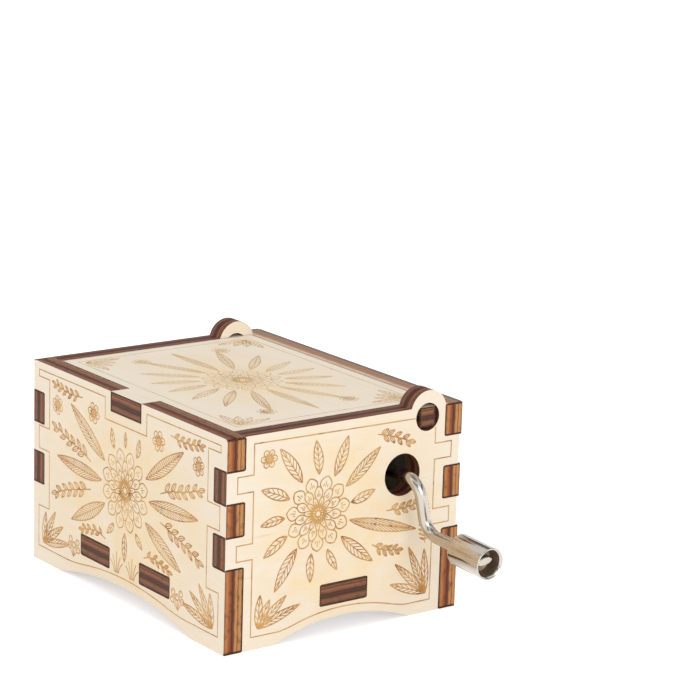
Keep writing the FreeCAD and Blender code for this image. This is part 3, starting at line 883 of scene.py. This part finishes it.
# engraved plants
frontPlan = {
    "middle": (0, 21.2),
    "flower": (7.4, 12, 3, 15),  # radius, petals a ring, rings, turn
    "gap": 7.9,  # from the middle to the roots of the leaves round the flower
    "upright": ([(90, 3.0), (-90, 5.4)], 1.9, 0),  # angles and lengths, width, curl
    "rays": ([(0, 15.6), (30, 14.2), (-31, 13.0), (62, 3.6), (-62, 3.2)], 2.6, 0.8),
    "vines": [  # route, pairs of leaves, length, width, lean, taper, veins
        ([(11.6, 23.7), (15.2, 25.0), (19.2, 25.9), (23.6, 27.3)], 5, 2.5, 0.9, 42, 0.8, 1),
        ([(11.6, 18.5), (15.4, 17.5), (19.4, 16.4), (23.6, 14.9)], 5, 2.5, 0.9, 42, 0.8, 1),
        ([(14.6, 35.0), (17.8, 34.7), (21.2, 34.9), (24.0, 35.4)], 5, 1.7, 0.6, 50, 0.9, 0),
        ([(6.4, 10.5), (9.2, 11.2), (12, 10.8), (14.4, 10.3)], 4, 1.6, 0.6, 50, 0.9, 0),
    ],
    "blossoms": [((10.8, 33.0), 2.3, 6, 10), ((23.4, 31.6), 2.1, 6, 20)],
    "fans": [((28.4, 3.9), [(98, 6.2), (122, 8.2), (146, 8.6), (168, 9.6)])],
    "berries": [((17.6, 4.0), 95, 5, 3.4, 0.55)],  # root, angle, count, reach, size
    "tufts": [((2.6, 5.2), 5, 4, 70)],  # root, blades, height, opening
}
sidePlan = {
    "middle": (-6, 22.4),
    "flower": (6.6, 11, 3, 8),
    "gap": 7.1,
    "rays": ([
        (90, 6.2), (62, 7.4), (35, 9.5), (8, 5.4), (-18, 15.4), (-44, 9.0), (-72, 4.6),
        (-100, 5.2), (-128, 8.4), (-155, 5.8), (178, 5.0), (150, 6.4), (120, 8.2),
    ], 2.1, 0.8),
    "vines": [
        ([(6.4, 34.9), (9.4, 34.2), (13.4, 32.8)], 4, 1.8, 0.7, 50, 0.9, 1),
        ([(5.9, 14.8), (8.6, 13.4), (11.5, 13.0)], 4, 1.6, 0.6, 50, 0.9, 0),
        ([(8.9, 20.6), (12.6, 20.5), (16.1, 21.0)], 4, 1.7, 0.7, 50, 0.9, 1),
    ],
    "blossoms": [((-16.6, 33.8), 2.0)],
    "fans": [
        ((18.3, 3.7), [(94, 8.4), (114, 10.2), (137, 9.6), (160, 8.6)]),
        ((-18.3, 3.7), [(86, 6.0), (63, 5.4), (40, 7.8), (18, 9.4)]),
    ],
    "ferns": [([(17.8, 13.2), (17.6, 17.0), (18.2, 21.0)], 9, 1.5, 60)],  # route, pairs, length, lean
    "inHole": ((12.15, 26.7), 4.2, 8),  # a blossom where the other side has the crank
}
lidPlan = {
    "middle": (0, -0.35),
    "flower": (7.2, 14, 3, 0),
    "gap": 7.8,
    "rays": 16,
    "oval": (23.5, 16.8),  # the leaves round the flower end near it
    "rayShort": 8.2,  # taken off the oval's reach
    "rayShape": (1.8, 0.5),  # width and curl
    "blossoms": [((u, v), 2.1) for u in (20.4, -20.4) for v in (8.6, -9.2)],
    "corner": (25.2, 17.9),
    "cornerFan": [(-38, 7.0), (-12, 5.6), (14, 5.6), (40, 7.0)],
}


def fan(root, blades):  # angle and length of each leaf from one root
    strokes = []
    for angle, length in blades:
        strokes += leaf(root, angle, length, 1.5, int(length * 0.8))
    return strokes


def palms(middle, gap, blades, width, curl):
    strokes = []
    for angle, length in blades:
        root = Vector(middle) + heading(angle) * gap
        strokes += leaf(root, angle, length, width * min(1, length / 7), int(length * 0.85), curl)
    return strokes


def smallPlants(plan):
    kinds = {
        "vines": vine, "blossoms": blossom, "fans": fan, "ferns": fern, "berries": berries, "tufts": tuft,
    }
    strokes = []
    for kind, grow in kinds.items():
        for values in plan.get(kind, []):
            strokes += grow(*values)
    return strokes


def frontArt(plan):
    middle, gap = plan["middle"], plan["gap"]
    half = palms(middle, gap, *plan["rays"]) + smallPlants(plan)
    strokes = dahlia(middle, *plan["flower"]) + palms(middle, gap, *plan["upright"])
    return strokes + half + mirrored(half)


def sideArt(plan, hole):
    strokes = dahlia(plan["middle"], *plan["flower"]) + smallPlants(plan)
    strokes += palms(plan["middle"], plan["gap"], *plan["rays"])
    return strokes if hole else strokes + blossom(*plan["inHole"])


def lidArt(plan):
    middle = Vector(plan["middle"])
    strokes = dahlia(middle, *plan["flower"]) + smallPlants(plan)
    wide, high = plan["oval"]
    for ray in range(plan["rays"]):
        angle = ray * 360 / plan["rays"]
        aim = heading(angle)
        length = 1 / hypot(aim.x / wide, aim.y / high) - plan["rayShort"]
        strokes += palms(middle, plan["gap"], [(angle, length)], *plan["rayShape"])
    for side in (-1, 1):
        for end in (-1, 1):
            inward = degrees(atan2(-end, -side))
            root = middle + Vector((side * plan["corner"][0], end * plan["corner"][1]))
            strokes += fan(root, [(inward + turn, length) for turn, length in plan["cornerFan"]])
    return strokes


for face in ("front", "back"):
    engrave(face + "_engraving", frontArt(frontPlan), "art", face)
engrave("right_engraving", sideArt(sidePlan, True), "art", "right")
engrave("left_engraving", mirrored(sideArt(sidePlan, False)), "art", "left")
engrave("lid_engraving", lidArt(lidPlan), "lid", "lid", "lid")
print("engraving drawn")

# metals
metalLook = {
    "cloudScale": 0.35,
    "worn": 0.86,
    "roughRange": (0.6, 1.5),
    "markStrength": 0.4,
}


def metalMaterial(name, tone, rough, grain, scale, depth=0.01):
    material, tree, shader = newMaterial(name)
    place = millimetres(tree)
    marks = noise(tree, place, scale, grain, 5)
    cloud = noise(tree, place, metalLook["cloudScale"], offset=17)
    bright = paint(*tone)
    worn = (*(metalLook["worn"] * value for value in bright[:3]), 1)
    fill(tree, shader, {
        "Base Color": blendColour(tree, cloud, bright, worn),
        "Roughness": spread(tree, marks, *(rough * share for share in metalLook["roughRange"])),
        "Metallic": 1,
        "Normal": bump(tree, marks, depth, metalLook["markStrength"]),
    })
    return material


movement = {  # eased edges, material, colour, roughness, grain, scale, and depth of the marks
    "bedplate": (0.14, "cast_zinc_finish", (196, 196, 194), 0.42, (1, 1, 1), 3.0, 0.03),
    "movement_screws": (0.1, "screw_finish", (186, 184, 180), 0.25, (1, 1, 4), 1.5),
    "comb": (0.05, "comb_finish", (190, 190, 192), 0.24, (0.1, 2, 1), 2.2, 0.02),
    "comb_screws": (0.1, "comb_screw_finish", (176, 172, 166), 0.22, (1, 1, 4), 1.5),
    "tuning_weights": (0, "lead_finish", (120, 121, 126), 0.55, (1, 1, 1), 2.0, 0.03),
    "cylinder_drum": (0.08, "drum_finish", (226, 190, 118), 0.24, (0.3, 6, 0.3), 1.6, 0.02),
    "cylinder_pins": (0, "pin_finish", (206, 205, 202), 0.22, (1, 1, 1), 4.0),
    "cylinder_arbor": (0, "arbor_finish", (196, 194, 190), 0.2, (1, 5, 1), 1.5),
    "spacer_sleeve": (0, "sleeve_finish", (224, 188, 118), 0.28, (0.3, 6, 0.3), 1.6),
    "worm_wheel": (0.05, "wheel_finish", (226, 188, 112), 0.26, (1, 5, 1), 1.5),
    "worm": (0, "worm_finish", (200, 198, 194), 0.22, (5, 1, 1), 1.5),
    "crank_ring": (0.06, "ring_finish", (180, 178, 174), 0.25, (1, 1, 1), 2.5),
}
for name, (ease, *finish) in movement.items():
    dress(name, metalMaterial(*finish), ease)


resinLook = {
    "scale": 0.7,
    "stretch": (1, 0.4, 1),
    "brown": paint(74, 44, 30),
    "dark": paint(42, 26, 20),
    "roughness": (0.25, 0.5),
}


def resinMaterial(look):
    material, tree, shader = newMaterial("resin_finish")
    swirl = noise(tree, millimetres(tree), look["scale"], look["stretch"], 4)
    fill(tree, shader, {
        "Base Color": blendColour(tree, swirl, look["brown"], look["dark"]),
        "Roughness": spread(tree, swirl, *look["roughness"]),
    })
    return material


dress("cylinder_core", resinMaterial(resinLook))
print("movement dressed")

# crank
crankShape = {
    "start": (0.15, 12.15, 26.7),
    "corner": (36.8, 12.15, 26.7),
    "radius": 1.0,
    "neck": (25.5, 27.5, 1.1),  # along x the wire thickens from the bearing to the handle
    "sides": 32,
    "bend": 3.2,
    "bendSteps": 14,
    "arm": 9.9,
    "lean": 12.0,
    "droop": 3.3,
    "roundTo": 14.62,
    "flatAt": 15.05,
    "end": 16.25,
    "peenTurn": 9.0,
    "peen": (1.6, 0.72),  # width and thickness as shares of the wire's
    "tip": 0.25,
    "tipPeen": (0.88, 0.7),
    "crease": 50,
}
knobShape = {
    "start": 8.9,
    "length": 8.7,
    "radius": 2.9,
    "bore": 2.32,
    "boreDepth": 3.0,
    "hole": 1.16,
    "countersink": 0.35,
    "shoulder": 0.7,
    "shoulderCut": 0.3,
    "drilled": (0.02, 0.2),  # faces this near the bore and this far in are drilled
    "sides": 64,
    "ease": 0.12,
    "easeFrom": 25,
}


def crankDirections(shape):
    lean = radians(shape["lean"])
    droop = radians(shape["droop"])
    arm = Vector((0, sin(lean), -cos(lean)))
    handle = Vector((1, 0, 0)) * cos(droop) + arm * sin(droop)
    root = Vector(shape["corner"]) + arm * shape["arm"]
    return arm, handle, root


def ringEdges(geometry):
    verts = {item for item in geometry if isinstance(item, bmesh.types.BMVert)}
    edges = [item for item in geometry if isinstance(item, bmesh.types.BMEdge)]
    return [edge for edge in edges if set(edge.verts) <= verts]


def ringVerts(edges):
    return list({vert for edge in edges for vert in edge.verts})


def pull(bm, edges, vector):
    edges = ringEdges(bmesh.ops.extrude_edge_only(bm, edges=edges)["geom"])
    bmesh.ops.translate(bm, verts=ringVerts(edges), vec=vector)
    return edges


def bendReach(bend, before, after):  # from the corner to either end of the bend
    return bend * tan(before.angle(after) / 2)


def turnCorner(bm, edges, corner, before, after, bend, steps):
    side = (after - before * after.dot(before)).normalized()
    centre = corner - before * bendReach(bend, before, after) + side * bend
    spun = bmesh.ops.spin(
        bm, geom=edges + ringVerts(edges), cent=centre, axis=before.cross(after),
        angle=before.angle(after), steps=steps,
    )
    return ringEdges(spun["geom_last"])


def squeeze(bm, edges, middle, axes, factors):
    space = axes.to_4x4() @ Matrix.Translation(-middle)
    bmesh.ops.scale(bm, vec=factors, space=space, verts=ringVerts(edges))


def crankRod(shape, material):
    bm = bmesh.new()
    arm, handle, root = crankDirections(shape)
    start, corner = Vector(shape["start"]), Vector(shape["corner"])
    shaft = Vector((1, 0, 0))
    made = bmesh.ops.create_circle(bm, segments=shape["sides"], radius=shape["radius"])
    turn = Matrix.Translation(start) @ shaft.to_track_quat("Z", "Y").to_matrix().to_4x4()
    bmesh.ops.transform(bm, matrix=turn, verts=made["verts"])
    first = list(bm.edges)
    neck, thick, growth = shape["neck"]
    bend, steps = shape["bend"], shape["bendSteps"]
    upper, lower = bendReach(bend, shaft, arm), bendReach(bend, arm, handle)
    edges = pull(bm, first, shaft * (neck - start.x))
    edges = pull(bm, edges, shaft * (thick - neck))
    squeeze(bm, edges, corner, Matrix.Identity(3), (1, growth, growth))
    edges = pull(bm, edges, shaft * (corner.x - upper - thick))
    edges = turnCorner(bm, edges, corner, shaft, arm, bend, steps)
    edges = pull(bm, edges, arm * (shape["arm"] - upper - lower))
    edges = turnCorner(bm, edges, root, arm, handle, bend, steps)
    edges = pull(bm, edges, handle * (shape["roundTo"] - lower))
    # the end is hammered flat inside the knob
    wide = Matrix.Rotation(radians(shape["peenTurn"]), 3, handle) @ Vector((0, 1, 0))
    axes = Matrix((handle, wide, handle.cross(wide)))
    travelled, pressed = shape["roundTo"], 0
    for share in (0.5, 1):
        place = shape["roundTo"] + (shape["flatAt"] - shape["roundTo"]) * share
        edges = pull(bm, edges, handle * (place - travelled))
        stretch = [(1 + (full - 1) * share) / (1 + (full - 1) * pressed) for full in shape["peen"]]
        squeeze(bm, edges, root + handle * place, axes, (1, *stretch))
        travelled, pressed = place, share
    edges = pull(bm, edges, handle * (shape["end"] - shape["tip"] - travelled))
    last = pull(bm, edges, handle * shape["tip"])
    squeeze(bm, last, root + handle * shape["end"], axes, (1, *shape["tipPeen"]))
    bmesh.ops.contextual_create(bm, geom=last)
    bmesh.ops.contextual_create(bm, geom=first)
    crease = shape["crease"]
    newPiece(bm, "crank_wire", material, "crank", "nickel_wire", "crank_rod", crease=crease)


def spinProfile(bm, outline, sides):  # (along x, radius) turned about the x axis
    verts = [bm.verts.new((x, 0, radius)) for x, radius in outline]
    edges = [bm.edges.new(pair) for pair in zip(verts, verts[1:])]
    bmesh.ops.spin(
        bm, geom=verts + edges, axis=(1, 0, 0), angle=2 * pi, steps=sides, use_merge=True,
    )


def easeEdges(bm, offset, over):
    bmesh.ops.recalc_face_normals(bm, faces=bm.faces)
    sharp = [edge for edge in bm.edges if edge.calc_face_angle(0) > radians(over)]
    bmesh.ops.bevel(
        bm, geom=sharp, offset=offset, segments=2, profile=0.5, affect="EDGES", material=-1,
    )


def crankKnob(shape, crank, material, inner):
    bm = bmesh.new()
    length, outer, shoulder = shape["length"], shape["radius"], shape["shoulder"]
    floor, cut = length - shape["boreDepth"], shoulder * shape["shoulderCut"]
    hole, bore, sink = shape["hole"], shape["bore"], shape["countersink"]
    outline = [
        (floor, hole), (0, hole), (0, outer - shoulder), (cut, outer - cut), (shoulder, outer),
        (length, outer), (length, bore + sink), (length - sink, bore), (floor, bore), (floor, hole),
    ]
    spinProfile(bm, outline, shape["sides"])
    bmesh.ops.remove_doubles(bm, verts=bm.verts, dist=meshing["weld"])
    easeEdges(bm, shape["ease"], shape["easeFrom"])
    near, deep = shape["drilled"]
    for face in bm.faces:
        middle = face.calc_center_median()
        inside = hypot(middle.y, middle.z) < bore + near
        face.material_index = int(inside and middle.x > deep)
    _, handle, root = crankDirections(crank)
    droop = Matrix.Rotation(radians(crank["droop"]), 4, Vector((1, 0, 0)).cross(handle))
    place = Matrix.Translation(root + handle * shape["start"]) @ droop
    bmesh.ops.transform(bm, matrix=place, verts=bm.verts)
    piece = newPiece(bm, "crank_handle", material, "knob", "nickel_knob", "crank_knob")
    piece.data.materials.append(inner)


wireNickel = metalMaterial("wire_nickel", (204, 197, 188), 0.2, (1, 1, 1), 2.4, 0.004)
knobNickel = metalMaterial("knob_nickel", (206, 200, 192), 0.12, (1, 6, 6), 1.0, 0.003)
drilledNickel = metalMaterial("drilled_nickel", (176, 160, 144), 0.42, (0.4, 3, 3), 2.0)
crankRod(crankShape, wireNickel)
crankKnob(knobShape, crankShape, knobNickel, drilledNickel)
print("crank made")

# studio
studio = {
    "sky": 0.74,
    "skyTint": (1, 0.99, 0.97, 1),
    # white backdrop, dim ceiling between two bright panels: height and grey
    "room": [(0.0, 1), (0.36, 1), (0.46, 0.1), (0.62, 0.14), (0.68, 0.9), (0.86, 1), (0.93, 0.3)],
    "lamps": [  # place in metres, watts, size
        ((0.75, -0.12, 0.32), 2.1, 0.5),
        ((-0.25, -0.7, 0.45), 1.4, 0.6),
    ],
    "aim": (0, 0, 0.02),
    "floorGrey": 0.86,
    "floorLift": 0.55,
    "floorReach": 4,
}


def seenPlainly(tree):  # straight, in mirrors or through glass
    path = add(tree, "LightPath").outputs
    seen = calc(tree, "MAXIMUM", path["Is Camera Ray"], path["Is Glossy Ray"])
    return calc(tree, "MAXIMUM", seen, path["Is Transmission Ray"])


def paintBackdrop(settings):
    world = bpy.data.worlds.new("studio")
    scene.world = world
    world.use_nodes = True
    tree = world.node_tree
    tree.nodes.clear()
    light = add(tree, "Background", {"Color": settings["skyTint"], "Strength": settings["sky"]})
    height = add(tree, "SeparateXYZ", {0: add(tree, "TexCoord").outputs["Generated"]}).outputs[2]
    room = ramp(tree, height, [(place, (grey, grey, grey, 1)) for place, grey in settings["room"]])
    white = add(tree, "Background", {"Color": room})
    mix = add(tree, "MixShader", {0: seenPlainly(tree), 1: light.outputs[0], 2: white.outputs[0]})
    add(tree, "OutputWorld", {0: mix.outputs[0]})


def hangLamps(settings):
    for index, (place, watts, size) in enumerate(settings["lamps"]):
        lamp = bpy.data.lights.new(f"softbox{index}", "AREA")
        lamp.energy, lamp.size = watts, size
        holder = newObject(lamp.name, lamp)
        toward = Vector(settings["aim"]) - Vector(place)
        turn = toward.to_track_quat("-Z", "Y").to_matrix().to_4x4()
        holder.matrix_world = Matrix.Translation(place) @ turn


def layFloor(settings):
    material, tree, shader = newMaterial("paper_floor")
    grey = settings["floorGrey"]
    fill(tree, shader, {
        "Base Color": (grey, grey, grey, 1),
        "Roughness": 0.9,
        "Specular IOR Level": 0.1,
        "Emission Color": (1, 1, 1, 1),
        "Emission Strength": calc(tree, "MULTIPLY", seenPlainly(tree), settings["floorLift"]),
    })
    bm = bmesh.new()
    bmesh.ops.create_grid(bm, x_segments=1, y_segments=1, size=settings["floorReach"])
    mesh = bpy.data.meshes.new("floor")
    bm.to_mesh(mesh)
    bm.free()
    mesh.materials.append(material)
    floor = newObject("floor", mesh)


paintBackdrop(studio)
hangLamps(studio)
layFloor(studio)
print("studio lit")
